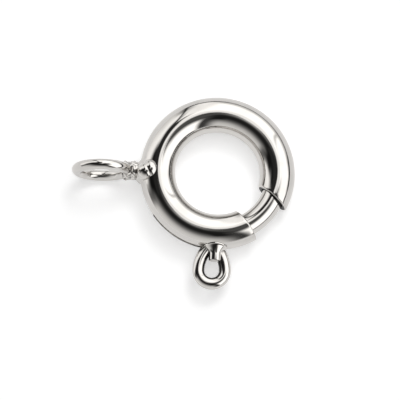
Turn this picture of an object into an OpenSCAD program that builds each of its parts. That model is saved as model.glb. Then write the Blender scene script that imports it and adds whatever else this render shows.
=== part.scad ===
// Spring ring clasp.
// A hollow round case is open over a short gap. A curved tongue slides inside it
// and bridges the gap, pushed shut by a coil spring and drawn back by a small
// ring-shaped trigger that stands out through a slot. An upright loop is soldered
// to the far side of the case.
//
// Sizes are in millimetres and angles in degrees. The origin is the centre of the
// ring. Angles run counterclockwise about the ring's axis from +X, and the end loop
// is on the -X side. The clasp lies on its end loop and on the opposite side of its
// case, so the ring's plane leans by rest_tilt, with the loop side up.

/* [Ring case] */
// Outside diameter of the ring
ring_od = 7; // [6.8:0.1:7.4]
// Outside diameter of the case's tube
tube_d = 1.6; // [1.5:0.05:1.7]
// Wall thickness of the tube
wall = 0.24; // [0.2:0.01:0.28]
// Angle of the crimp that the spring rests against
stop_angle = 115; // [105:1:125]
// Width of the crimp, as an angle
stop_width = 4; // [3:0.5:6]

/* [Gap] */
// Angle of the receiving end's cut at the middle of the tube
receiver_angle = -24.6; // [-27:0.2:-22]
// Turn of the receiving cut from a radial line
receiver_skew = -16.3; // [-18:0.1:-10]
// Angle of the mouth's cut at the middle of the tube
mouth_angle = -61.2; // [-64:0.2:-58]
// Turn of the mouth's cut from a radial line
mouth_skew = 7.4; // [0:0.1:10]

/* [Tongue] */
// Clearance between the tongue and the bore, on the radius
tongue_clear = 0.03; // [0.02:0.005:0.04]
// Angle of the tongue's front end, inside the receiving end
tip_angle = -12; // [-15:0.5:-8]
// Length of the tapered tip
tip_taper = 0.15; // [0.1:0.01:0.2]
// How far the tongue reaches behind the trigger, as an angle
tail_reach = 9; // [8:0.5:12]
// How far the tongue slides to open, as an angle
travel = 52; // [46:1:54]

/* [Trigger] */
// Angle of the trigger with the clasp shut
trigger_angle = -91.9; // [-94:0.1:-90]
// Distance from the ring's centre to the centre of the trigger's ring
trigger_out = 4.49; // [4.46:0.01:4.7]
// Sideways offset of the trigger's ring from its post
trigger_offset = 0.12; // [0:0.01:0.14]
// Diameter across the trigger's ring, measured at the middle of its wire
trigger_ring_d = 1.2; // [1.1:0.05:1.25]
// Thickness of the trigger ring's wire
trigger_wire = 0.55; // [0.45:0.01:0.58]
// Radius of the flatter curve that the ring's sides follow towards the case
arm_r = 1.45; // [1.4:0.05:1.5]
// Diameter of the post
post_d = 0.56; // [0.5:0.01:0.6]
// Height of the post's axis above the trigger ring's plane
post_lift = 0.17; // [0:0.01:0.2]
// Diameter of the foot that lies on the case
foot_d = 0.78; // [0.74:0.01:0.9]
// Thickness of the foot
foot_t = 0.06; // [0.05:0.01:0.08]
// Diameter of the peg that stands in the slot
peg_d = 0.23; // [0.23:0.01:0.34]

/* [End loop] */
// Distance from the ring's centre to the loop's centre
loop_out = 5.21; // [5.15:0.01:5.3]
// Diameter across the loop, measured at the middle of its wire
loop_d = 2.24; // [2.1:0.02:2.3]
// Thickness of the loop's wire
loop_wire = 0.49; // [0.42:0.01:0.55]

/* [Neck] */
// Angle of the neck and the end loop, from the ring's centre
neck_angle = 179.1; // [178:0.1:182]
// Diameter of the neck between its beads
neck_d = 0.82; // [0.76:0.01:0.83]
// Diameter over the neck's beads
bead_d = 0.88; // [0.85:0.01:0.9]
// Radius of the solder fillet where the neck meets the case
fillet_r = 0.27; // [0.22:0.01:0.3]

/* [Spring] */
// Thickness of the spring's wire
spring_wire = 0.13; // [0.1:0.01:0.15]
// Diameter of the coil, measured at the middle of its wire
coil_d = 0.88; // [0.84:0.01:0.9]
// Turns of the coil
coil_turns = 22; // [16:1:24]

/* [Hidden] */

// Driving sizes worked out from the ones above
tube_r = tube_d / 2;
ring_r = ring_od / 2 - tube_r;
bore_r = tube_r - wall;
tongue_r = bore_r - tongue_clear;
loop_outer_r = (loop_d + loop_wire) / 2;
rest_tilt = asin((loop_outer_r - tube_r) / (loop_out * abs(cos(neck_angle)) + ring_r));

// The slot leaves running room round the peg
slot_clear = 0.03;
slot_d = peg_d + 2 * slot_clear;
slot_relief = 0.01;
slot_start = trigger_angle;
slot_end = trigger_angle - travel;

// The foot slides over the case with this clearance
foot_clear = 0.03;
peg_depth = 0.25;
peg_fit = 0.01;
post_start = ring_r + tube_r + 0.16;
post_end = trigger_out - 0.4;
arm_in = 0.1;
arm_turn = asin((trigger_out - ring_r - tube_r + arm_in) / arm_r);

// The tip and the tail of the tongue
tip_blunt = 0.1;
tail_angle = trigger_angle - tail_reach;

// The beads along the neck: distance from the ring's centre and half width
beads = [[4.16, 0.17], [3.82, 0.19]];
neck_start = 3.4;
fillet_start = 3.72;
fillet_bite = 0.02;
pad_end = 2.93;
pad_r = 0.775;

// The gap's outline runs this far to each side of the tube's middle
cut_in = 1.1;
cut_out = 1.3;

// The coil fills the bore from the tongue's tail to the crimp
coil_gap = 1.6;
coil_from = tail_angle - coil_gap;
coil_to = stop_angle - 360 + stop_width / 2 + coil_gap;
coil_steps = 12;
coil_sides = 5;

eps = 0.01;
$fn = 120;

// A point of a straight cut across the tube, dist out from the tube's middle
function on_cut(angle, skew, dist) = [
    ring_r * cos(angle) + dist * cos(angle + skew),
    ring_r * sin(angle) + dist * sin(angle + skew)
];

// Everything is drawn in the plane of the ring and leaned to rest on a surface
module at_rest() {
    rotate([0, rest_tilt, 0]) children();
}

// A solid arc along the ring
module arc(radius, from, to) {
    rotate([0, 0, from])
        rotate_extrude(angle = to - from)
            translate([ring_r, 0]) circle(radius);
}

// A rod that points away from the ring's centre
module radial_rod(d, from, to, d_end = 0) {
    translate([from, 0, 0]) rotate([0, 90, 0])
        cylinder(h = to - from, d1 = d, d2 = d_end > 0 ? d_end : d);
}

// The piece of the tube that is sawn out between the mouth and the receiving end
module gap() {
    linear_extrude(height = 2 * tube_d, center = true)
        polygon([
            on_cut(receiver_angle, receiver_skew, -cut_in),
            on_cut(receiver_angle, receiver_skew, cut_out),
            on_cut(mouth_angle, mouth_skew, cut_out),
            on_cut(mouth_angle, mouth_skew, -cut_in)
        ]);
}

// The slot that the trigger's peg slides in, round the outside of the case
module slot() {
    inside = ring_r + bore_r / 2;
    outside = ring_r + tube_d;
    rotate([0, 0, slot_end])
        rotate_extrude(angle = travel)
            translate([inside, -slot_d / 2]) square([outside - inside, slot_d]);
    for (a = [slot_start, slot_end])
        rotate([0, 0, a])
            radial_rod(slot_d + 2 * slot_relief, inside - slot_relief, outside + slot_relief);
}

// The upright wire loop
module end_loop() {
    translate([loop_out, 0, 0]) rotate([90, 0, 0])
        rotate_extrude() translate([loop_d / 2, 0]) circle(d = loop_wire);
}

// Half of the neck's outline: the beads, the fillet and its pad on the case
module neck_outline() {
    fillet_x = neck_d / 2 + fillet_r - fillet_bite;
    translate([0, neck_start]) square([neck_d / 2, beads[0][0] - neck_start]);
    for (b = beads)
        intersection() {
            translate([bead_d / 2 - b[1], b[0]]) circle(b[1]);
            translate([0, b[0] - b[1]]) square([bead_d, 2 * b[1]]);
        }
    difference() {
        polygon([
            [0, pad_end - pad_r / 2],
            [pad_r / 2, pad_end - pad_r / 2],
            [pad_r, pad_end],
            [fillet_x, fillet_start - fillet_r],
            [fillet_x, fillet_start],
            [0, fillet_start]
        ]);
        translate([fillet_x, fillet_start]) circle(fillet_r);
    }
}

// The neck, turned about the line from the ring's centre to the loop
module neck() {
    rotate([0, 90, 0]) rotate_extrude() neck_outline();
}

// The case: a sawn and slotted tube with the neck and the loop soldered on
module ring_body() {
    color([0.78, 0.77, 0.75]) at_rest() difference() {
        union() {
            rotate_extrude() translate([ring_r, 0]) circle(tube_r);
            rotate([0, 0, neck_angle]) neck();
            rotate([0, 0, neck_angle]) end_loop();
        }
        arc(bore_r, stop_angle + stop_width / 2, stop_angle + 360 - stop_width / 2);
        gap();
        slot();
    }
}

// The curved tongue, with a tapered tip and a blind hole for the trigger's peg
module tongue() {
    color([0.8, 0.79, 0.77]) at_rest() difference() {
        union() {
            arc(tongue_r, tail_angle, tip_angle);
            rotate([0, 0, tip_angle]) translate([ring_r, 0, 0]) rotate([-90, 0, 0])
                cylinder(h = tip_taper, r1 = tongue_r, r2 = tongue_r - tip_blunt);
        }
        rotate([0, 0, trigger_angle])
            radial_rod(peg_d + 2 * peg_fit, ring_r - peg_depth - peg_fit, ring_r + tube_r);
    }
}

// Round wire bent to a radius, from angle a over a turn
module bent_wire(r, a, turn) {
    rotate([0, 0, a]) rotate_extrude(angle = turn) translate([r, 0]) circle(d = trigger_wire);
}

// The thumb trigger: a peg, a foot that hugs the case, a post and an oval ring
module trigger() {
    color([0.76, 0.75, 0.73]) at_rest() rotate([0, 0, trigger_angle]) {
        radial_rod(peg_d, ring_r - peg_depth, post_start);
        difference() {
            translate([trigger_out, -trigger_offset, 0]) for (side = [0, 1])
                mirror([0, side, 0]) translate([0, trigger_ring_d / 2 - arm_r, 0])
                    bent_wire(arm_r, 90, arm_turn);
            rotate_extrude() translate([ring_r, 0]) circle(tube_r + foot_clear);
        }
        difference() {
            translate([0, 0, post_lift]) {
                intersection() {
                    radial_rod(foot_d, ring_r, post_start);
                    rotate_extrude() translate([ring_r, -post_lift])
                        circle(tube_r + foot_clear + foot_t);
                }
                radial_rod(foot_d - 2 * foot_t, ring_r + tube_r / 2, post_start, post_d);
            }
            rotate_extrude() translate([ring_r, 0]) circle(tube_r + foot_clear);
        }
        translate([0, 0, post_lift]) radial_rod(post_d, post_start - eps, post_end);
        translate([trigger_out, -trigger_offset, 0])
            bent_wire(trigger_ring_d / 2, -90, 180);
    }
}

// A corner of the spring's wire at ring angle a, coil angle turn and wire angle side
function wire_point(a, turn, side) =
    let (
        reach = coil_d / 2 + spring_wire / 2 * cos(side),
        out = ring_r + reach * cos(turn),
        along = spring_wire / 2 * sin(side)
    )
    [out * cos(a) - along * sin(a), out * sin(a) + along * cos(a), reach * sin(turn)];

// The coil spring, bent along the bore
module spring() {
    rings = coil_turns * coil_steps;
    points = [
        for (i = [0:rings], j = [0:coil_sides - 1])
            wire_point(
                coil_from + (coil_to - coil_from) * i / rings,
                360 * i / coil_steps,
                360 * j / coil_sides
            )
    ];
    walls = [
        for (i = [0:rings - 1], j = [0:coil_sides - 1])
            let (k = (j + 1) % coil_sides, a = i * coil_sides, b = a + coil_sides)
            [a + j, a + k, b + k, b + j]
    ];
    first_cap = [for (j = [coil_sides - 1:-1:0]) j];
    last_cap = [for (j = [0:coil_sides - 1]) rings * coil_sides + j];
    color([0.55, 0.55, 0.56]) at_rest()
        polyhedron(points = points, faces = concat(walls, [first_cap], [last_cap]));
}

ring_body();
tongue();
trigger();
spring();
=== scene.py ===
import math

import bmesh
import bpy
from bpy.props import FloatProperty, FloatVectorProperty, IntProperty, PointerProperty
from mathutils import Matrix, Vector, noise


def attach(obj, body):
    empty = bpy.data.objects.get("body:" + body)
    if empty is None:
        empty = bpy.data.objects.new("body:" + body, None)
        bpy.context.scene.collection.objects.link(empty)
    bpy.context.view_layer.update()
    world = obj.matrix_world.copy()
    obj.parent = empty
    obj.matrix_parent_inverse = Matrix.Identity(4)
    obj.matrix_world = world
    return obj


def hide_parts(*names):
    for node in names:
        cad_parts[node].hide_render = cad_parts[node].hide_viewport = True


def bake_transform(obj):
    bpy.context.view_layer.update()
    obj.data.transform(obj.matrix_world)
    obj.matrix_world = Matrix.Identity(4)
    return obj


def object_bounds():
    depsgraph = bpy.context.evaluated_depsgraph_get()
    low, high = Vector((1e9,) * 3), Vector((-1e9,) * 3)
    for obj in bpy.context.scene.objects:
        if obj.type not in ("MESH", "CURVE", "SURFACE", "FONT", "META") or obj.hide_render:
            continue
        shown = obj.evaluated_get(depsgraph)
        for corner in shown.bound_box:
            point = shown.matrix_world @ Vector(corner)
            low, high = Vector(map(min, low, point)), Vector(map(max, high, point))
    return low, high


bl_info = {
    "name": "Spring Ring Clasp",
    "version": (1, 0, 0),
    "blender": (4, 5, 0),
    "location": "View3D > Sidebar > Clasp",
    "description": "Builds the polished pieces of a spring ring clasp over its packed frame",
    "category": "Add Mesh",
}

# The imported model, and its box before any piece is made
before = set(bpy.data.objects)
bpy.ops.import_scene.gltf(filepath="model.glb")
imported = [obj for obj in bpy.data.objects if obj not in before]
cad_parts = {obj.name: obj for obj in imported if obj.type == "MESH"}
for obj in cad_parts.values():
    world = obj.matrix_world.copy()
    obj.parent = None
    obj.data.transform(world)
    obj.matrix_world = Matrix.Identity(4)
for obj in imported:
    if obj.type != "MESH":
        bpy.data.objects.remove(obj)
CAD_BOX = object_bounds()

# Pieces are worked out in millimetres and made in metres
MM = 0.001


# Sizes and colours that a user would change

class ClaspSizes(bpy.types.PropertyGroup):
    """Sizes of the clasp, in the scene's length unit"""

    ring_radius: FloatProperty(
        name="Ring radius", description="Ring's centre to the middle of its tube",
        default=2.7 * MM, unit="LENGTH", precision=5)
    tube_radius: FloatProperty(
        name="Tube radius", description="Outside radius of the case's tube",
        default=0.8 * MM, unit="LENGTH", precision=5)
    bore_radius: FloatProperty(
        name="Bore radius", description="Inside radius of the case's tube",
        default=0.56 * MM, unit="LENGTH", precision=5)
    tongue_radius: FloatProperty(
        name="Tongue radius", description="Radius of the sliding tongue",
        default=0.53 * MM, unit="LENGTH", precision=5)
    receiver_angle: FloatProperty(
        name="Receiving end", description="Angle of the cut at the receiving end",
        default=math.radians(-24.6), unit="ROTATION", subtype="ANGLE")
    receiver_skew: FloatProperty(
        name="Receiving skew", description="Turn of the receiving cut from a radial line",
        default=math.radians(-16.3), unit="ROTATION", subtype="ANGLE")
    mouth_angle: FloatProperty(
        name="Mouth", description="Angle of the cut at the tongue's mouth",
        default=math.radians(-61.2), unit="ROTATION", subtype="ANGLE")
    mouth_skew: FloatProperty(
        name="Mouth skew", description="Turn of the mouth's cut from a radial line",
        default=math.radians(7.4), unit="ROTATION", subtype="ANGLE")
    rim_round: FloatProperty(
        name="Rim rounding", description="How far polishing has rounded the sawn rims",
        default=0.1 * MM, unit="LENGTH", precision=5)
    tip_angle: FloatProperty(
        name="Tongue tip", description="Angle at which the tongue's short tip begins",
        default=math.radians(-12), unit="ROTATION", subtype="ANGLE")
    tail_angle: FloatProperty(
        name="Tongue tail", description="Angle of the tongue's rear end",
        default=math.radians(-101.1), unit="ROTATION", subtype="ANGLE")
    stop_angle: FloatProperty(
        name="Crimp", description="Angle of the crimp that the spring rests against",
        default=math.radians(115), unit="ROTATION", subtype="ANGLE")
    stop_width: FloatProperty(
        name="Crimp width", description="Width of the crimp, as an angle",
        default=math.radians(4), unit="ROTATION", subtype="ANGLE")
    trigger_angle: FloatProperty(
        name="Trigger", description="Angle of the trigger with the clasp shut",
        default=math.radians(-91.9), unit="ROTATION", subtype="ANGLE")
    travel: FloatProperty(
        name="Travel", description="How far the tongue slides, as an angle",
        default=math.radians(52), unit="ROTATION", subtype="ANGLE")
    slot_width: FloatProperty(
        name="Slot width", description="Width of the slot that the trigger's peg slides in",
        default=0.29 * MM, unit="LENGTH", precision=5)
    trigger_out: FloatProperty(
        name="Trigger reach", description="Ring's centre to the centre of the trigger's ring",
        default=4.49 * MM, unit="LENGTH", precision=5)
    trigger_ring_radius: FloatProperty(
        name="Trigger ring radius",
        description="Radius of the trigger's ring at the middle of its wire",
        default=0.6 * MM, unit="LENGTH", precision=5)
    trigger_wire_radius: FloatProperty(
        name="Trigger wire radius", description="Radius of the trigger ring's wire",
        default=0.275 * MM, unit="LENGTH", precision=5)
    trigger_offset: FloatProperty(
        name="Trigger offset", description="Sideways offset of the trigger's ring from its post",
        default=0.12 * MM, unit="LENGTH", precision=5)
    post_radius: FloatProperty(
        name="Post radius", description="Radius of the trigger's post",
        default=0.28 * MM, unit="LENGTH", precision=5)
    post_lift: FloatProperty(
        name="Post lift", description="Height of the post's axis above the trigger ring's plane",
        default=0.17 * MM, unit="LENGTH", precision=5)
    arm_radius: FloatProperty(
        name="Side radius",
        description="Radius of the curve the thumb ring's sides follow to the case",
        default=1.45 * MM, unit="LENGTH", precision=5)
    arm_in: FloatProperty(
        name="Side end", description="How far inside the case's outline that curve would end",
        default=0.1 * MM, unit="LENGTH", precision=5)
    foot_radius: FloatProperty(
        name="Foot radius", description="Radius of the trigger's foot",
        default=0.39 * MM, unit="LENGTH", precision=5)
    peg_radius: FloatProperty(
        name="Peg radius", description="Radius of the peg that stands in the slot",
        default=0.115 * MM, unit="LENGTH", precision=5)
    loop_out: FloatProperty(
        name="Loop reach", description="Ring's centre to the end loop's centre",
        default=5.21 * MM, unit="LENGTH", precision=5)
    loop_radius: FloatProperty(
        name="Loop radius", description="Radius of the end loop at the middle of its wire",
        default=1.12 * MM, unit="LENGTH", precision=5)
    loop_wire_radius: FloatProperty(
        name="Loop wire radius", description="Radius of the end loop's wire",
        default=0.245 * MM, unit="LENGTH", precision=5)
    neck_angle: FloatProperty(
        name="Neck angle", description="Angle of the neck and the end loop",
        default=math.radians(179.1), unit="ROTATION", subtype="ANGLE")
    neck_radius: FloatProperty(
        name="Neck radius", description="Radius of the neck between its beads",
        default=0.41 * MM, unit="LENGTH", precision=5)
    bead_radius: FloatProperty(
        name="Bead radius", description="Radius over the neck's beads",
        default=0.44 * MM, unit="LENGTH", precision=5)
    coil_radius: FloatProperty(
        name="Coil radius", description="Radius of the spring at the middle of its wire",
        default=0.44 * MM, unit="LENGTH", precision=5)
    spring_wire_radius: FloatProperty(
        name="Spring wire radius", description="Radius of the spring's wire",
        default=0.065 * MM, unit="LENGTH", precision=5)
    coil_turns: IntProperty(
        name="Turns", description="Turns of the spring", default=22, min=8)


class ClaspLook(bpy.types.PropertyGroup):
    """Colours and light of the scene"""

    silver: FloatVectorProperty(
        name="Silver", description="Colour of the polished silver",
        default=(0.58, 0.562, 0.54), subtype="COLOR", min=0, max=1)
    steel: FloatVectorProperty(
        name="Spring steel", description="Colour of the spring",
        default=(0.45, 0.45, 0.46), subtype="COLOR", min=0, max=1)
    polish: FloatProperty(
        name="Roughness", description="Roughness of the polished silver",
        default=0.045, min=0, max=1, subtype="FACTOR")
    acrylic: FloatVectorProperty(
        name="Acrylic", description="Colour of the pale floor",
        default=(0.8, 0.8, 0.8), subtype="COLOR", min=0, max=1)
    glow: FloatProperty(
        name="Glow", description="Light that comes up through the floor", default=0.61, min=0)
    key_light: FloatProperty(
        name="Key light", description="Strength of the soft key light",
        default=0.7, min=0)
    overhead_light: FloatProperty(
        name="Overhead light", description="Strength of the large soft light above",
        default=1.45, min=0)
    frame_width: FloatProperty(
        name="Frame width", description="Width of what the camera sees at the clasp",
        default=18 * MM, unit="LENGTH", precision=5)
    elevation: FloatProperty(
        name="Camera elevation", description="Angle of the camera above the surface",
        default=math.radians(77), unit="ROTATION", subtype="ANGLE")


class Sizes:
    """The clasp's sizes in millimetres and radians."""

    def __init__(self, context):
        group = context.scene.clasp_sizes
        for name, prop in group.bl_rna.properties.items():
            if prop.type in ("FLOAT", "INT"):
                value = getattr(group, name)
                setattr(self, name, value / MM if prop.unit == "LENGTH" else value)

    def rest_tilt(self):
        """Lean of the ring's plane with the clasp lying on its end loop and its far side."""
        rise = self.loop_radius + self.loop_wire_radius - self.tube_radius
        return math.asin(rise / (self.loop_out * abs(math.cos(self.neck_angle)) + self.ring_radius))

    def side_shift(self):
        """How far past the thumb ring's centre line the centre of its side curve lies."""
        return self.arm_radius - self.trigger_ring_radius


# Shader maths

class Value:
    """A socket's output, with Python's arithmetic as Math nodes."""

    def __init__(self, nodes, socket):
        self.nodes = nodes
        self.socket = socket

    def math(self, operation, *others):
        return self.nodes.add("ShaderNodeMath", {"operation": operation}, [self, *others])

    def __add__(self, other):
        return self.math("ADD", other)

    def __radd__(self, other):
        return self.math("ADD", other)

    def __sub__(self, other):
        return self.math("SUBTRACT", other)

    def __rsub__(self, other):
        return self.nodes.add("ShaderNodeMath", {"operation": "SUBTRACT"}, [other, self])

    def __mul__(self, other):
        return self.math("MULTIPLY", other)

    def __rmul__(self, other):
        return self.math("MULTIPLY", other)

    def __truediv__(self, other):
        return self.math("DIVIDE", other)


class Nodes:
    """Adds nodes to one tree."""

    def __init__(self, tree):
        self.tree = tree
        tree.nodes.clear()

    def add(self, kind, settings=None, inputs=(), output=0):
        """Adds a node, gives it its settings, then its sockets' values or links."""
        node = self.tree.nodes.new(kind)
        for name, value in (settings or {}).items():
            if name == "stops":
                ramp = node.color_ramp.elements
                while len(ramp) < len(value):
                    ramp.new(0.5)
                for element, (place, shade) in zip(ramp, value):
                    element.position = place
                    element.color = (shade, shade, shade, 1)
            else:
                setattr(node, name, value)
        pairs = inputs.items() if isinstance(inputs, dict) else enumerate(inputs)
        for key, value in pairs:
            if isinstance(value, Value):
                self.tree.links.new(value.socket, node.inputs[key])
            else:
                node.inputs[key].default_value = value
        return Value(self, node.outputs[output] if node.outputs else None)

    def ramp(self, value, low, high, start=0.0, end=1.0):
        """Rises smoothly from start to end as value goes from low to high."""
        return self.add(
            "ShaderNodeMapRange",
            {"interpolation_type": "SMOOTHSTEP"},
            {"Value": value, "From Min": low, "From Max": high, "To Min": start, "To Max": end},
        )

    def mix(self, factor, a, b):
        """Mixes two colours."""
        settings = {"data_type": "RGBA"}
        return self.add("ShaderNodeMix", settings, {0: factor, 6: a, 7: b}, output=2)

    def noise(self, coords, scale, detail=2.0, roughness=0.5):
        """Smooth noise, with scale in features for each metre."""
        inputs = {"Vector": coords, "Scale": scale, "Detail": detail, "Roughness": roughness}
        return self.add("ShaderNodeTexNoise", None, inputs)

    def scaled(self, coords, scale):
        """Coordinates scaled on each axis, which squeezes a pattern on them by as much."""
        return self.add("ShaderNodeMapping", None, {"Vector": coords, "Scale": scale})

    def bump(self, height, distance):
        """Bump from a height, with distance its depth in metres."""
        inputs = {"Strength": 1.0, "Distance": distance, "Height": height}
        return self.add("ShaderNodeBump", None, inputs)

    def surface(self, inputs):
        """Ends a material's tree in one shader with these inputs."""
        shader = self.add("ShaderNodeBsdfPrincipled", None, inputs)
        self.add("ShaderNodeOutputMaterial", None, {"Surface": shader})


def new_material(name):
    """A node material with its nodes and the object's own coordinates."""
    material = bpy.data.materials.new(name)
    material.use_nodes = True
    nodes = Nodes(material.node_tree)
    return material, nodes, nodes.add("ShaderNodeTexCoord", output=3)


def tone(colour, share=1.0):
    """A colour times a share, at most white, with full alpha."""
    return (*(min(share * c, 1.0) for c in colour), 1)


def polished_silver(name, colour, polish, seed):
    """Tumble-polished silver with faint waves, wipe marks, hairlines and painted shade in recesses.
    """
    material, nodes, coords = new_material(name)
    place = nodes.add("ShaderNodeMapping", None, {"Vector": coords, "Location": (seed, seed, 0)})
    dull = nodes.ramp(nodes.noise(place, 900, 3), 0.45, 0.75)
    hairs = nodes.noise(nodes.scaled(place, (1, 9, 3)), 4000, 2)
    wave = nodes.noise(place, 1500, 1)
    # Painted shade: a mask from the mesh darkens the colour to a tenth in grooves and inner walls
    recess = nodes.add("ShaderNodeAttribute", {"attribute_name": "recess"}, output=2)
    wiped = nodes.mix(dull, tone(colour), tone(colour, 0.93))
    roughness = polish + 0.03 * dull + 0.015 * nodes.ramp(hairs, 0.55, 0.8) + 0.12 * recess
    nodes.surface({
        "Base Color": nodes.mix(recess, wiped, tone(colour, 0.1)),
        "Metallic": 1.0,
        "Roughness": roughness,
        "Normal": nodes.bump(wave + 0.15 * hairs, 0.0000022)})
    return material


def bore_painted_shade_silver(name, colour):
    """The unpolished bore and sawn ends, rough with saw marks, in painted shade nearly black."""
    material, nodes, coords = new_material(name)
    marks = nodes.noise(coords, 5000, 4)
    uneven = nodes.ramp(marks, 0.35, 0.75)
    # Painted shade: the colour is only 3 to 9 hundredths of the silver's
    nodes.surface({
        "Base Color": nodes.mix(uneven, tone(colour, 0.03), tone(colour, 0.09)),
        "Metallic": 1.0,
        "Roughness": 0.3 + 0.2 * marks,
        "Normal": nodes.bump(marks, 0.000004)})
    return material


def slot_painted_light_silver(name, colour):
    """The slot's walls, frosted by the file, with painted light that makes them lighter than the
    polished silver.
    """
    material, nodes, coords = new_material(name)
    strokes = nodes.noise(nodes.scaled(coords, (1, 1, 6)), 4000, 3)
    streaks = nodes.ramp(strokes, 0.4, 0.7)
    # Painted light: the walls are up to 1.6 times as light as the polished silver
    nodes.surface({
        "Base Color": nodes.mix(streaks, tone(colour, 1.6), tone(colour)),
        "Metallic": 1.0,
        "Roughness": 0.45 + 0.15 * strokes})
    return material


def spring_steel(name, colour):
    """Drawn steel wire with a satin surface and faint draw marks."""
    material, nodes, coords = new_material(name)
    marks = nodes.noise(coords, 6000, 3)
    streaks = nodes.ramp(marks, 0.4, 0.7)
    nodes.surface({
        "Base Color": nodes.mix(streaks, tone(colour), tone(colour, 0.8)),
        "Metallic": 1.0,
        "Roughness": 0.24 + 0.12 * marks,
        "Normal": nodes.bump(marks, 0.000001)})
    return material


def pale_acrylic(name, colour, glow):
    """Matt white acrylic with a faint tooth, lit a little from below."""
    material, nodes, coords = new_material(name)
    tooth = nodes.noise(coords, 3000, 4)
    nodes.surface({
        "Base Color": nodes.mix(tooth, tone(colour), tone(colour, 0.985)),
        "Roughness": 0.95,
        "Specular IOR Level": 0.1,
        "Emission Color": tone(colour),
        "Emission Strength": glow})
    return material


# Mesh helpers

def turn(angle, axis="Z"):
    """A turn about an axis through the origin."""
    return Matrix.Rotation(angle, 4, axis)


def held(share):
    """A share kept between 0 and 1."""
    return min(max(share, 0.0), 1.0)


def edges_of(verts):
    """The edges that join these vertices, always in the same order."""
    inside = set(verts)
    found = dict.fromkeys(e for v in verts for e in v.link_edges)
    return [e for e in found if e.verts[0] in inside and e.verts[1] in inside]


def circle(bm, radius, sides, matrix):
    """A circle's vertices and edges."""
    verts = bmesh.ops.create_circle(bm, segments=sides, radius=radius, matrix=matrix)["verts"]
    return verts + edges_of(verts)


def only_edges(geom):
    return [g for g in geom if isinstance(g, bmesh.types.BMEdge)]


def close_end(bm, geom):
    """Fills an open end."""
    bmesh.ops.contextual_create(bm, geom=only_edges(geom))


def along_ring(bm, sizes, radius, sides, start, stretches):
    """A round tube along the ring's circle, given as stretches of an angle and its steps.

    Gives the edges of its two ends.
    """
    section = turn(start) @ Matrix.Translation((sizes.ring_radius, 0, 0)) @ turn(math.pi / 2, "X")
    first = circle(bm, radius, sides, section)
    last = first
    for angle, steps in stretches:
        last = bmesh.ops.spin(
            bm, geom=last, cent=(0, 0, 0), axis=(0, 0, 1), angle=angle, steps=steps,
            use_merge=False, use_duplicate=False)["geom_last"]
    return only_edges(first), only_edges(last)


def torus(bm, radius, wire, steps, sides, matrix):
    """A closed ring of round wire about its own Z."""
    section = matrix @ Matrix.Translation((radius, 0, 0)) @ turn(math.pi / 2, "X")
    geom = circle(bm, wire, sides, section)
    bmesh.ops.spin(
        bm, geom=geom, cent=matrix.translation, axis=matrix.to_3x3() @ Vector((0, 0, 1)),
        angle=2 * math.pi, steps=steps, use_merge=True, use_duplicate=False)


def turned(bm, outline, steps):
    """Turns an outline of (out, radius) points about the X axis."""
    verts = [bm.verts.new((out, radius, 0)) for out, radius in outline]
    edges = [bm.edges.new(pair) for pair in zip(verts, verts[1:])]
    bmesh.ops.spin(
        bm, geom=verts + edges, cent=(0, 0, 0), axis=(1, 0, 0),
        angle=2 * math.pi, steps=steps, use_merge=True, use_duplicate=False)


def arc_points(centre, radius, start, end, count):
    """Points (out, radius) on an arc, with angles in degrees from the outward direction."""
    points = []
    for i in range(count + 1):
        angle = math.radians(start + (end - start) * i / count)
        points.append((centre[0] + radius * math.cos(angle), centre[1] + radius * math.sin(angle)))
    return points


def tube_skin(sizes, tube, y, z):
    """Distance out along X at which a tube round the ring is met at y and z."""
    across = sizes.ring_radius + math.sqrt(max(tube * tube - z * z, 0))
    return math.sqrt(max(across * across - y * y, 0))


def bezier(a, b, c, d, t):
    s = 1 - t
    return a * s ** 3 + 3 * b * s * s * t + 3 * c * s * t * t + d * t ** 3


def flare(sizes, tube, start, lead, edge, angle, t, lift=0.0):
    """A point (out, radius) of a skirt that leaves a rod and lies down on the tube.

    start is (out, radius) where it leaves the rod, lead how far it runs on along the rod,
    edge its radius where it meets the tube, angle its direction about the rod and lift how
    far the rod's axis is above the ring's plane.
    """
    y, z = math.cos(angle), math.sin(angle)
    step = 0.01
    steepest = 3.0
    landing = 0.4
    end = tube_skin(sizes, tube, edge * y, edge * z + lift)
    near = tube_skin(sizes, tube, (edge - step) * y, (edge - step) * z + lift)
    rise = min((near - end) / step, steepest)
    back = landing * (edge - start[1])
    out = bezier(start[0], start[0] - lead, end + rise * back, end, t)
    radius = bezier(start[1], start[1], edge - back, edge, t)
    return out, radius


def smooth_with_creases(bm, crease):
    """Shades faces smooth, with edges sharper than the crease angle left sharp."""
    for face in bm.faces:
        face.smooth = True
    for edge in bm.edges:
        edge.smooth = edge.calc_face_angle(0) < crease


def make_piece(name, bm, lean, material, crease=math.radians(35)):
    """Closes the mesh up, leans it to rest and makes the object, in metres."""
    weld = 0.0004
    bmesh.ops.remove_doubles(bm, verts=bm.verts, dist=weld)
    bmesh.ops.recalc_face_normals(bm, faces=bm.faces)
    bm.transform(Matrix.Scale(MM, 4) @ turn(lean, "Y"))
    smooth_with_creases(bm, crease)
    mesh = bpy.data.meshes.new(name)
    bm.to_mesh(mesh)
    bm.free()
    mesh.materials.append(material)
    piece = bpy.data.objects.new(name, mesh)
    bpy.context.scene.collection.objects.link(piece)
    return piece


def even_shading(piece):
    """Lets large faces set the shading beside small rounded edges."""
    shading = piece.modifiers.new("even_shading", "WEIGHTED_NORMAL")
    shading.keep_sharp = True
    shading.weight = 80


def scratch_object(name, bm):
    """A throwaway object for a cut."""
    mesh = bpy.data.meshes.new(name)
    bm.to_mesh(mesh)
    bm.free()
    made = bpy.data.objects.new(name, mesh)
    bpy.context.scene.collection.objects.link(made)
    return made


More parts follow.
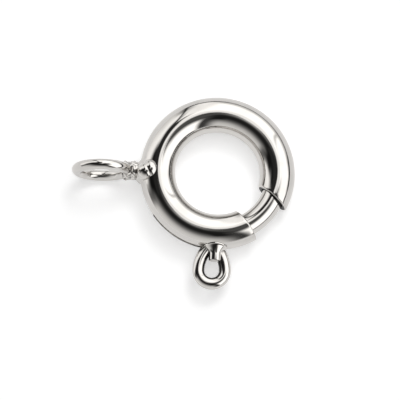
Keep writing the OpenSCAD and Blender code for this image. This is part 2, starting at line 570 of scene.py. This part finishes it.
def cut_away(bm, cutter_bm):
    """A new bmesh of the first shape less the second."""
    body = scratch_object("uncut", bm)
    cutter = scratch_object("cutter", cutter_bm)
    saw = body.modifiers.new("saw", "BOOLEAN")
    saw.operation = "DIFFERENCE"
    saw.solver = "EXACT"
    saw.object = cutter
    graph = bpy.context.evaluated_depsgraph_get()
    cut = bmesh.new()
    cut.from_object(body, graph)
    for made in (body, cutter):
        mesh = made.data
        bpy.data.objects.remove(made)
        bpy.data.meshes.remove(mesh)
    return cut


# The case

def cut_angle(sizes, angle, skew, reach):
    """Angle at which a straight cut across the tube passes, reach away from the ring's centre."""
    ring = sizes.ring_radius
    along = math.sqrt(reach ** 2 - (ring * math.sin(skew)) ** 2) - ring * math.cos(skew)
    return angle + math.atan2(along * math.sin(skew), ring + along * math.cos(skew))


def slant_end(bm, sizes, angle, skew, blend):
    """Slants the rows near an end so that the last one lies in its straight cut."""
    fixed = angle + blend
    tiny = 1e-6
    for vert in bm.verts:
        here = math.atan2(vert.co.y, vert.co.x)
        if abs(here - angle) > abs(blend) + tiny or (here - fixed) * blend > tiny:
            continue
        reach = math.hypot(vert.co.x, vert.co.y)
        target = cut_angle(sizes, angle, skew, reach)
        share = (fixed - here) / blend
        moved = here + share * (target - angle)
        vert.co.x = reach * math.cos(moved)
        vert.co.y = reach * math.sin(moved)


def slot_cutter(sizes):
    """A round-ended bar bent along the outside of the case."""
    bm = bmesh.new()
    half = sizes.slot_width / 2
    cap = half / (sizes.ring_radius + sizes.tube_radius)
    start = sizes.trigger_angle + cap
    end = sizes.trigger_angle - sizes.travel - cap
    inside = sizes.ring_radius + sizes.bore_radius / 2
    outside = sizes.ring_radius + 2 * sizes.tube_radius
    corners = [(inside, -half), (outside, -half), (outside, half), (inside, half)]
    steps = 150
    verts = [bm.verts.new((x, 0, z)) for x, z in corners]
    face = bm.faces.new(verts)
    bmesh.ops.rotate(bm, verts=verts, cent=(0, 0, 0), matrix=turn(start, "Z").to_3x3())
    bmesh.ops.spin(
        bm, geom=[face, *face.edges, *verts], cent=(0, 0, 0), axis=(0, 0, 1),
        angle=end - start, steps=steps, use_merge=False, use_duplicate=False)
    # The ends are rounded, and stop short of closing to a line
    nearly_closed = 0.995
    for vert in bm.verts:
        here = math.atan2(vert.co.y, vert.co.x)
        past = max(here - sizes.trigger_angle, sizes.trigger_angle - sizes.travel - here, 0)
        share = min(past / cap, nearly_closed)
        vert.co.z *= math.sqrt(1 - share * share)
    bmesh.ops.recalc_face_normals(bm, faces=bm.faces)
    return bm


def case_tube(sizes):
    """The hollow case, open over the gap, with rounded rims and the trigger's slot."""
    bm = bmesh.new()
    sides = 96
    rim_step = math.radians(3.4)
    row = math.radians(1.2)
    receiver_blend = math.radians(24)
    mouth_blend = math.radians(-18)
    start = sizes.receiver_angle
    end = sizes.mouth_angle + 2 * math.pi
    stop_from = sizes.stop_angle - sizes.stop_width / 2
    stop_to = sizes.stop_angle + sizes.stop_width / 2

    def rows(angle):
        return angle, max(round(angle / row), 1)

    rim = (rim_step, 1)
    outer = along_ring(
        bm, sizes, sizes.tube_radius, sides, start, [rim, rows(end - start - 2 * rim_step), rim])
    skin = set(bm.faces)
    bore_start = along_ring(
        bm, sizes, sizes.bore_radius, sides, start, [rim, rows(stop_from - start - rim_step)])
    bore_end = along_ring(
        bm, sizes, sizes.bore_radius, sides, stop_to, [rows(end - stop_to - rim_step), rim])
    close_end(bm, bore_start[1])
    close_end(bm, bore_end[0])
    bmesh.ops.reverse_faces(bm, faces=[face for face in bm.faces if face not in skin])
    receiver = outer[0] + bore_start[0]
    mouth = outer[1] + bore_end[1]
    for rims in (receiver, mouth):
        bmesh.ops.bridge_loops(bm, edges=rims)
    slant_end(bm, sizes, sizes.receiver_angle, sizes.receiver_skew, receiver_blend)
    slant_end(bm, sizes, sizes.mouth_angle, sizes.mouth_skew, mouth_blend)
    bmesh.ops.recalc_face_normals(bm, faces=bm.faces)
    bmesh.ops.bevel(
        bm, geom=receiver + mouth, offset=sizes.rim_round, offset_type="OFFSET", segments=6,
        profile=0.5, affect="EDGES", clamp_overlap=True, material=-1)
    return cut_away(bm, slot_cutter(sizes))


def mark_inside(bm, sizes):
    """Gives the bore and the sawn ends the second material, of painted shade, and the slot's walls
    the third, of painted light.
    """
    polished, painted_dark, filed_painted_light = range(3)
    rim = sizes.tube_radius - 1.05 * sizes.rim_round
    bore = sizes.bore_radius + 0.005
    upright = 0.9
    for face in bm.faces:
        centre = face.calc_center_median()
        across = math.hypot(centre.x, centre.y) - sizes.ring_radius
        deep = math.hypot(across, centre.z)
        near_slot = deep > bore and abs(centre.z) < sizes.slot_width
        if near_slot and abs(face.normal.z) > upright:
            face.material_index = filed_painted_light
        else:
            face.material_index = painted_dark if deep < rim else polished


def mark_painted_shade(bm, depth):
    """Keeps a mask of painted shade from 0 on open surfaces to 1 in recesses, from depth(vertex).
    """
    layer = bm.verts.layers.float.new("recess")
    for vert in bm.verts:
        share = held(depth(vert))
        vert[layer] = share * share * (3 - 2 * share)


def beaded_neck(sizes):
    """The neck: two lumpy beads, a waist and a solder skirt that lies down on the case."""
    bm = bmesh.new()
    # Each bead is its distance out and half its width
    beads = [(4.16, 0.17), (3.82, 0.19)]
    front, front_radius = 4.3, 0.2
    skirt_start = 3.66
    skirt_rows = 16
    skirt_step = 0.01
    skirt_lead = 0.14
    skirt_side, skirt_rise = 0.67, 0.08
    sunk = 0.004
    # Each noise is its fineness and height
    lumps = [(5.5, 0.05), (12, 0.04)]
    outline = [(front, 0), (front, front_radius)]
    for out, half in beads:
        centre = (out, sizes.bead_radius - half)
        reach = math.degrees(math.acos((sizes.neck_radius - centre[1]) / half))
        outline += arc_points(centre, half, 90 - reach, 90 + reach, 10)
    outline += [(skirt_start - skirt_step * i, sizes.neck_radius) for i in range(skirt_rows + 1)]
    turned(bm, outline, 96)
    hollows = {}
    for vert in bm.verts:
        t = (skirt_start - vert.co.x) / skirt_step / skirt_rows
        if t > 0.01:
            angle = math.atan2(vert.co.z, vert.co.y)
            edge = skirt_side + skirt_rise * abs(math.sin(angle)) ** 1.5
            out, radius = flare(
                sizes, sizes.tube_radius - sunk, (skirt_start, sizes.neck_radius),
                skirt_lead, edge, angle, t)
            vert.co = (out, radius * math.cos(angle), radius * math.sin(angle))
        else:
            lump = sum(noise.noise(vert.co * fineness) * height for fineness, height in lumps)
            hollows[vert] = -lump
            vert.co += Vector((0, vert.co.y, vert.co.z)) * lump / sizes.neck_radius

    # Painted shade starts past the skirt, this far below the beads' tops or this deep in a hollow
    groove_start, groove_fade = 3.62, 0.05
    below_top, below_fade = 0.018, 0.045
    hollow, hollow_fade = 0.004, 0.014

    def groove(vert):
        beside = held((vert.co.x - groove_start) / groove_fade)
        top = sizes.bead_radius - below_top
        below = (top - math.hypot(vert.co.y, vert.co.z)) / below_fade
        return beside * max(below, (hollows.get(vert, 0) - hollow) / hollow_fade)

    mark_painted_shade(bm, groove)
    # Solder: a lip on the case and a ridge that runs down from it to the beads
    lip = Matrix.Translation((3.06, 0, 0.55)) @ Matrix.Diagonal((0.37, 0.43, 0.35, 1))
    ridge = Matrix.Translation((3.28, 0.12, 0.5)) @ Matrix.Diagonal((0.4, 0.4, 0.38, 1))
    for side in (1, -1):
        for blob in (lip, ridge):
            bmesh.ops.create_uvsphere(
                bm, u_segments=48, v_segments=24, radius=1,
                matrix=Matrix.Diagonal((1, 1, side, 1)) @ blob)
    bm.transform(turn(sizes.neck_angle))
    return bm


def end_loop(sizes):
    """The upright wire loop."""
    bm = bmesh.new()
    out = turn(sizes.neck_angle) @ Matrix.Translation((sizes.loop_out, 0, 0))
    upright = turn(math.pi / 2, "X")
    torus(bm, sizes.loop_radius, sizes.loop_wire_radius, 144, 48, out @ upright)
    return bm


# The moving pieces

def tongue_bar(sizes):
    """The curved tongue, with its ends rounded."""
    bm = bmesh.new()
    end_step = math.radians(3)
    rounding = 0.09
    length = sizes.tip_angle - sizes.tail_angle
    stretches = [(end_step, 1), (length - end_step, 80), (end_step, 1)]
    first, last = along_ring(bm, sizes, sizes.tongue_radius, 80, sizes.tail_angle, stretches)
    close_end(bm, first)
    close_end(bm, last)
    bmesh.ops.bevel(
        bm, geom=first + last, offset=rounding, offset_type="OFFSET", segments=5,
        profile=0.5, affect="EDGES", clamp_overlap=True, material=-1)
    return bm


def oval_ring(bm, sizes, tube):
    """The thumb ring: an oval of round wire, its near side pressed on to a tube round the ring."""
    centre = Matrix.Translation((sizes.trigger_out, -sizes.trigger_offset, 0))
    section = (
        centre @ turn(-math.pi / 2) @ Matrix.Translation((sizes.trigger_ring_radius, 0, 0))
        @ turn(math.pi / 2, "X"))
    first = circle(bm, sizes.trigger_wire_radius, 48, section)
    last = bmesh.ops.spin(
        bm, geom=first, cent=centre.translation, axis=(0, 0, 1), angle=math.pi,
        steps=60, use_merge=False, use_duplicate=False)["geom_last"]
    past_case = sizes.trigger_out - sizes.ring_radius - sizes.tube_radius
    arm_turn = math.asin((past_case + sizes.arm_in) / sizes.arm_radius)
    for side, end in ((-1, first), (1, last)):
        pivot = centre @ Vector((0, -side * sizes.side_shift(), 0))
        end = bmesh.ops.spin(
            bm, geom=end, cent=pivot, axis=(0, 0, 1), angle=side * arm_turn, steps=40,
            use_merge=False, use_duplicate=False)["geom_last"]
        close_end(bm, end)
    # What would lie inside the tube is pushed out on to it
    for vert in bm.verts:
        flat = math.hypot(vert.co.x, vert.co.y)
        across = flat - sizes.ring_radius
        grow = max(tube / math.hypot(across, vert.co.z), 1)
        wide = (sizes.ring_radius + across * grow) / flat
        vert.co = (vert.co.x * wide, vert.co.y * wide, vert.co.z * grow)


def trigger_casting(sizes):
    """The thumb trigger: a peg, a foot that hugs the case, a post and a small ring."""
    bm = bmesh.new()
    gap = 0.012
    oval_ring(bm, sizes, sizes.tube_radius + gap)
    # Painted shade starts this share of the wire's radius in from its middle, and at the sides'
    # roots
    wall, wall_fade = 0.48, 0.16
    root, root_fade, root_share = 3.73, 0.1, 0.5

    def inner_wall(vert):
        side = abs(vert.co.y + sizes.trigger_offset)
        out = vert.co.x - sizes.trigger_out
        inward = sizes.trigger_ring_radius - math.hypot(side, out)
        if out < 0:
            inward = sizes.arm_radius - math.hypot(side + sizes.side_shift(), out)
        inner = (inward / sizes.trigger_wire_radius - wall) / wall_fade
        return max(inner, root_share * held((root - vert.co.x) / root_fade))

    mark_painted_shade(bm, inner_wall)
    cast = set(bm.verts)
    short_of_centre = 0.4
    post_end = sizes.trigger_out - short_of_centre
    post_edge = 0.06
    foot_from = 3.76
    foot_rows = 16
    foot_step = 0.01
    foot_lead = 0.1
    foot_wide = 0.54
    foot_thick = 0.03
    outline = [(post_end, 0)]
    outline += arc_points(
        (post_end - post_edge, sizes.post_radius - post_edge), post_edge, 0, 90, 8)
    outline += [(foot_from - foot_step * i, sizes.post_radius) for i in range(foot_rows + 3)]
    turned(bm, outline, 64)
    post = [vert for vert in bm.verts if vert not in cast]
    # The last two rows turn under the foot's edge and close it over the case
    for vert in post:
        row = round((foot_from - vert.co.x) / foot_step)
        if not 1 <= row <= foot_rows + 2:
            continue
        angle = math.atan2(vert.co.z, vert.co.y)
        reach = 1 / math.hypot(math.cos(angle) / foot_wide, math.sin(angle) / sizes.foot_radius)
        out, radius = flare(
            sizes, sizes.tube_radius + gap + foot_thick, (foot_from, sizes.post_radius),
            foot_lead, reach, angle, min(row / foot_rows, 1), sizes.post_lift)
        if row > foot_rows:
            radius = reach if row == foot_rows + 1 else 0
            out = tube_skin(
                sizes, sizes.tube_radius + gap, radius * math.cos(angle),
                radius * math.sin(angle) + sizes.post_lift)
        vert.co = (out, radius * math.cos(angle), radius * math.sin(angle))
    bmesh.ops.translate(bm, verts=post, vec=(0, 0, sizes.post_lift))
    peg_top, peg_tip = 3.6, 2.45
    thick = sizes.peg_radius
    turned(bm, [(peg_top, 0), (peg_top, thick), (peg_tip, thick), (peg_tip, 0)], 48)
    bm.transform(turn(sizes.trigger_angle))
    return bm


def coil(sizes, start, end):
    """The spring: a straight helix, bent along the bore."""
    bm = bmesh.new()
    steps_a_turn = 28
    steps = sizes.coil_turns * steps_a_turn
    length = (end - start) * sizes.ring_radius
    section = Matrix.Translation((0, sizes.coil_radius, 0))
    geom = circle(bm, sizes.spring_wire_radius, 8, section)
    last = bmesh.ops.spin(
        bm, geom=geom, cent=(0, 0, 0), axis=(1, 0, 0), dvec=(length / steps, 0, 0),
        angle=2 * math.pi * sizes.coil_turns, steps=steps, use_merge=False,
        use_duplicate=False)["geom_last"]
    close_end(bm, geom)
    close_end(bm, last)
    for vert in bm.verts:
        angle = start + vert.co.x / sizes.ring_radius
        reach = sizes.ring_radius + vert.co.y
        vert.co = (reach * math.cos(angle), reach * math.sin(angle), vert.co.z)
    return bm


class CaseOperator(bpy.types.Operator):
    """Makes the case with its neck and end loop"""

    bl_idname = "clasp.make_case"
    bl_label = "Make Case"

    def execute(self, context):
        sizes = Sizes(context)
        look = context.scene.clasp_look
        silver = polished_silver("case_silver_finish", look.silver, look.polish, 0.0)
        shapes = {
            "case_tube": case_tube(sizes),
            "neck": beaded_neck(sizes),
            "end_loop": end_loop(sizes),
        }
        mark_inside(shapes["case_tube"], sizes)
        for name, bm in shapes.items():
            piece = make_piece(name, bm, sizes.rest_tilt(), silver)
            if name == "case_tube":
                piece.data.materials.append(bore_painted_shade_silver("sawn_silver_finish", look.silver))
                piece.data.materials.append(slot_painted_light_silver("filed_silver_finish", look.silver))
                even_shading(piece)
            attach(piece, "case")
            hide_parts("ring_body")
        return {"FINISHED"}


class TongueOperator(bpy.types.Operator):
    """Makes the sliding tongue"""

    bl_idname = "clasp.make_tongue"
    bl_label = "Make Tongue"

    def execute(self, context):
        sizes = Sizes(context)
        look = context.scene.clasp_look
        silver = polished_silver("tongue_silver_finish", look.silver, look.polish, 0.01)
        piece = make_piece("tongue_bar", tongue_bar(sizes), sizes.rest_tilt(), silver)
        even_shading(piece)
        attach(piece, "bolt")
        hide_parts("tongue")
        return {"FINISHED"}


class TriggerOperator(bpy.types.Operator):
    """Makes the thumb trigger"""

    bl_idname = "clasp.make_trigger"
    bl_label = "Make Trigger"

    def execute(self, context):
        sizes = Sizes(context)
        look = context.scene.clasp_look
        silver = polished_silver("trigger_silver_finish", look.silver, look.polish, 0.02)
        piece = make_piece("thumb_trigger", trigger_casting(sizes), sizes.rest_tilt(), silver)
        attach(piece, "bolt")
        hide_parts("trigger")
        return {"FINISHED"}


class SpringOperator(bpy.types.Operator):
    """Makes the coil spring"""

    bl_idname = "clasp.make_spring"
    bl_label = "Make Spring"

    def execute(self, context):
        sizes = Sizes(context)
        look = context.scene.clasp_look
        clearance = math.radians(1.6)
        start = sizes.tail_angle - clearance
        end = sizes.stop_angle + sizes.stop_width / 2 + clearance - 2 * math.pi

        piece = make_piece(
            "coil_spring", coil(sizes, start, end), sizes.rest_tilt(),
            spring_steel("spring_steel_finish", look.steel))
        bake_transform(piece)
        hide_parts("spring")
        return {"FINISHED"}


# The stage

def studio(world, look):
    """The room that the silver mirrors: a softbox on the right, a grey card and dark gaps."""
    world.use_nodes = True
    nodes = Nodes(world.node_tree)
    direction = nodes.add("ShaderNodeTexCoord", output=0)
    split = nodes.add("ShaderNodeSeparateXYZ", None, [direction])
    x, y, z = (Value(nodes, split.socket.node.outputs[i]) for i in range(3))
    azimuth = y.math("ARCTAN2", x) * (180 / math.pi)
    elevation = z.math("ARCSINE") * (180 / math.pi)
    screen_white = 255
    screen_gamma = 2.2

    def light(shown):
        """Radiance that the silver shows as this screen value."""
        return (shown / screen_white) ** screen_gamma / look.silver[1]

    def patch(now, shown, sides, heights, side_soft, low_soft, high_soft,
              turn=azimuth, height=elevation):
        """Lays a soft-edged panel over the light so far.

        It lies between two azimuths and two elevations in degrees, and each soft width is
        that of the fade at its sides, its foot and its top. Another turn or height in place
        of the plain azimuth or elevation slants it.
        """
        middle, half = (sides[0] + sides[1]) / 2, (sides[1] - sides[0]) / 2
        away = (turn - middle).math("WRAP", 180.0, -180.0).math("ABSOLUTE")
        inside = nodes.ramp(away, half - side_soft / 2, half + side_soft / 2, 1.0, 0.0)
        low, high = heights
        above = nodes.ramp(height, low - low_soft / 2, low + low_soft / 2)
        below = nodes.ramp(height, high - high_soft / 2, high + high_soft / 2, 1.0, 0.0)
        return now + (light(shown) - now) * (inside * above * below)

    # The grey card all round, by elevation and the screen value that it shows
    card = [(0, 200), (10, 193), (20, 183), (30, 162), (40, 120), (50, 75), (60, 38), (70, 30),
            (75, 38), (79, 56), (84, 98), (88, 150)]
    stops = [(height / 90, light(shown)) for height, shown in card]
    now = nodes.add("ShaderNodeValToRGB", {"stops": stops}, [elevation / 90])
    # Dark room behind the grey card and over the small panel
    now = patch(now, 95, (183, 200), (3, 42), 14, 10, 20)
    now = patch(now, 24, (160, 190), (22, 68), 20, 36, 8)
    now = patch(now, 30, (100, 170), (48, 72), 8, 10, 8)
    now = patch(now, 58, (-72, -44), (4, 66), 24, 14, 10)
    # The haze over the softbox, the dark beside it and the light near the zenith
    now = patch(now, 72, (-50, 40), (62, 80), 24, 14, 10)
    now = patch(now, 30, (-86, -64), (49, 68), 12, 12, 10)
    now = patch(now, 230, (36, 82), (64, 87), 28, 12, 7)
    # The softbox, in overlapping panels, and the faint line down it
    now = patch(now, 262, (-51.5, 16), (-1, 55), 12, 14, 20)
    now = patch(now, 262, (12, 87), (30, 61), 22, 22, 12)
    now = patch(now, 262, (0, 87), (19, 56), 10, 14, 16)
    now = patch(now, 262, (22, 88), (50, 70), 14, 6, 9)
    now = patch(now, 256, (84, 101), (34, 59), 3, 26, 5)
    now = patch(now, 236, (86, 102), (2, 58), 12, 12, 5)
    now = patch(now, 180, (39.5, 42), (2, 58), 3, 6, 30)
    # The smaller panel beside it, with a top that slopes down to both sides
    slope = (elevation + (azimuth - 128).math("MAXIMUM", 0.0) * 0.75
             + (122 - azimuth).math("MAXIMUM", 0.0) * 0.6)
    now = patch(now, 236, (102, 178), (22, 55), 14, 40, 18, height=slope)
    # The shade at its foot and the dark line between it and the softbox
    now = patch(now, 120, (103, 113), (6, 26), 12, 8, 14)
    now = patch(now, 40, (105.5, 108.5), (2, 66), 3, 12, 10)
    # The dark corner above the two panels
    lean = azimuth + (elevation - 60).math("MAXIMUM", 0.0) * 1.1
    now = patch(now, 40, (97, 190), (60, 77), 9, 8, 6, turn=lean)
    # The dark edge of the table, and the camera's stand low on the right
    now = patch(now, 30, (-50, -2), (-4, 8), 12, 2, 6)
    now = patch(now, 40, (-2, 48), (-3, 6.5), 12, 2, 5)
    now = patch(now, 105, (42, 84), (-3, 6.5), 12, 2, 5)
    now = patch(now, 40, (80, 108), (-3, 6.5), 10, 2, 5)
    now = patch(now, 12, (-3, 24), (-6, 12), 12, 8, 14)
    # Diffuse rays don't see the room, so matt surfaces are lit by the lamps
    diffuse = nodes.add("ShaderNodeLightPath", output=2)
    warm_white = (1, 0.995, 0.985, 1)
    room = nodes.add(
        "ShaderNodeBackground", None, {"Color": warm_white, "Strength": now * (1 - diffuse)})
    nodes.add("ShaderNodeOutputWorld", None, {"Surface": room})


def floor(scene, look):
    """The sheet of acrylic that the clasp lies on."""
    half_width = 0.6
    bm = bmesh.new()
    bmesh.ops.create_grid(bm, x_segments=2, y_segments=2, size=half_width)
    bm.transform(Matrix.Translation((0, 0, CAD_BOX[0].z)))
    mesh = bpy.data.meshes.new("floor")
    bm.to_mesh(mesh)
    bm.free()
    mesh.materials.append(pale_acrylic("floor_acrylic", look.acrylic, look.glow))
    sheet = bpy.data.objects.new("floor", mesh)
    scene.collection.objects.link(sheet)


def soft_sun(scene, name, energy, spread, azimuth, height):
    """A wide far lamp that the silver doesn't mirror, with its angles in degrees."""
    lamp = bpy.data.lights.new(name, "SUN")
    lamp.energy = energy
    lamp.angle = math.radians(spread)
    azimuth, height = math.radians(azimuth), math.radians(height)
    level = math.cos(height)
    towards = Vector((level * math.cos(azimuth), level * math.sin(azimuth), math.sin(height)))
    sun = bpy.data.objects.new(name, lamp)
    sun.rotation_mode = "QUATERNION"
    sun.rotation_quaternion = towards.to_track_quat("Z", "Y")
    sun.visible_glossy = False
    scene.collection.objects.link(sun)


def long_lens(scene, look):
    """The camera, far off with a long lens, aimed a little left of and below the ring's centre."""
    focal, sensor = 600, 36
    frame_pixels = 400
    aim_right, aim_up = -17.5, -26.5
    lens = bpy.data.cameras.new("camera")
    lens.lens = focal
    lens.sensor_width = sensor
    distance = look.frame_width * focal / sensor
    lens.clip_start = distance / 100
    lens.clip_end = distance * 100
    right = Vector((1, 0, 0))
    back = Vector((0, -math.cos(look.elevation), math.sin(look.elevation)))
    up = back.cross(right)
    pixel = look.frame_width / frame_pixels
    aim = right * (aim_right * pixel) + up * (aim_up * pixel)
    camera = bpy.data.objects.new("camera", lens)
    camera.location = aim + back * distance
    camera.rotation_mode = "QUATERNION"
    camera.rotation_quaternion = (-back).to_track_quat("-Z", "Y")
    scene.collection.objects.link(camera)
    scene.camera = camera


class StageOperator(bpy.types.Operator):
    """Makes the floor, the light and the camera"""

    bl_idname = "clasp.make_stage"
    bl_label = "Make Stage"

    def execute(self, context):
        look = context.scene.clasp_look
        scene = context.scene
        floor(scene, look)
        world = bpy.data.worlds.new("studio")
        studio(world, look)
        scene.world = world
        soft_sun(scene, "overhead", look.overhead_light, 60, 60, 82)
        soft_sun(scene, "key", look.key_light, 26, 65, 55)
        long_lens(scene, look)
        scene.view_settings.view_transform = "Standard"
        return {"FINISHED"}


class ClaspPanel(bpy.types.Panel):
    """Lists the clasp's makers and their sizes"""

    bl_idname = "VIEW3D_PT_clasp"
    bl_label = "Spring Ring Clasp"
    bl_space_type = "VIEW_3D"
    bl_region_type = "UI"
    bl_category = "Clasp"

    def draw(self, context):
        layout = self.layout
        for operator in MAKERS:
            layout.operator(operator.bl_idname)
        for group in (context.scene.clasp_sizes, context.scene.clasp_look):
            column = layout.column()
            for name in group.__annotations__:
                column.prop(group, name)


MAKERS = (StageOperator, CaseOperator, TongueOperator, TriggerOperator, SpringOperator)
CLASSES = (ClaspSizes, ClaspLook, *MAKERS, ClaspPanel)


def register():
    for cls in CLASSES:
        bpy.utils.register_class(cls)
    bpy.types.Scene.clasp_sizes = PointerProperty(type=ClaspSizes)
    bpy.types.Scene.clasp_look = PointerProperty(type=ClaspLook)


def unregister():
    del bpy.types.Scene.clasp_look
    del bpy.types.Scene.clasp_sizes
    for cls in reversed(CLASSES):
        bpy.utils.unregister_class(cls)


def main():
    register()
    bpy.ops.clasp.make_stage()
    bpy.ops.clasp.make_case()
    bpy.ops.clasp.make_tongue()
    bpy.ops.clasp.make_trigger()
    bpy.ops.clasp.make_spring()


if __name__ == "__main__":
    main()
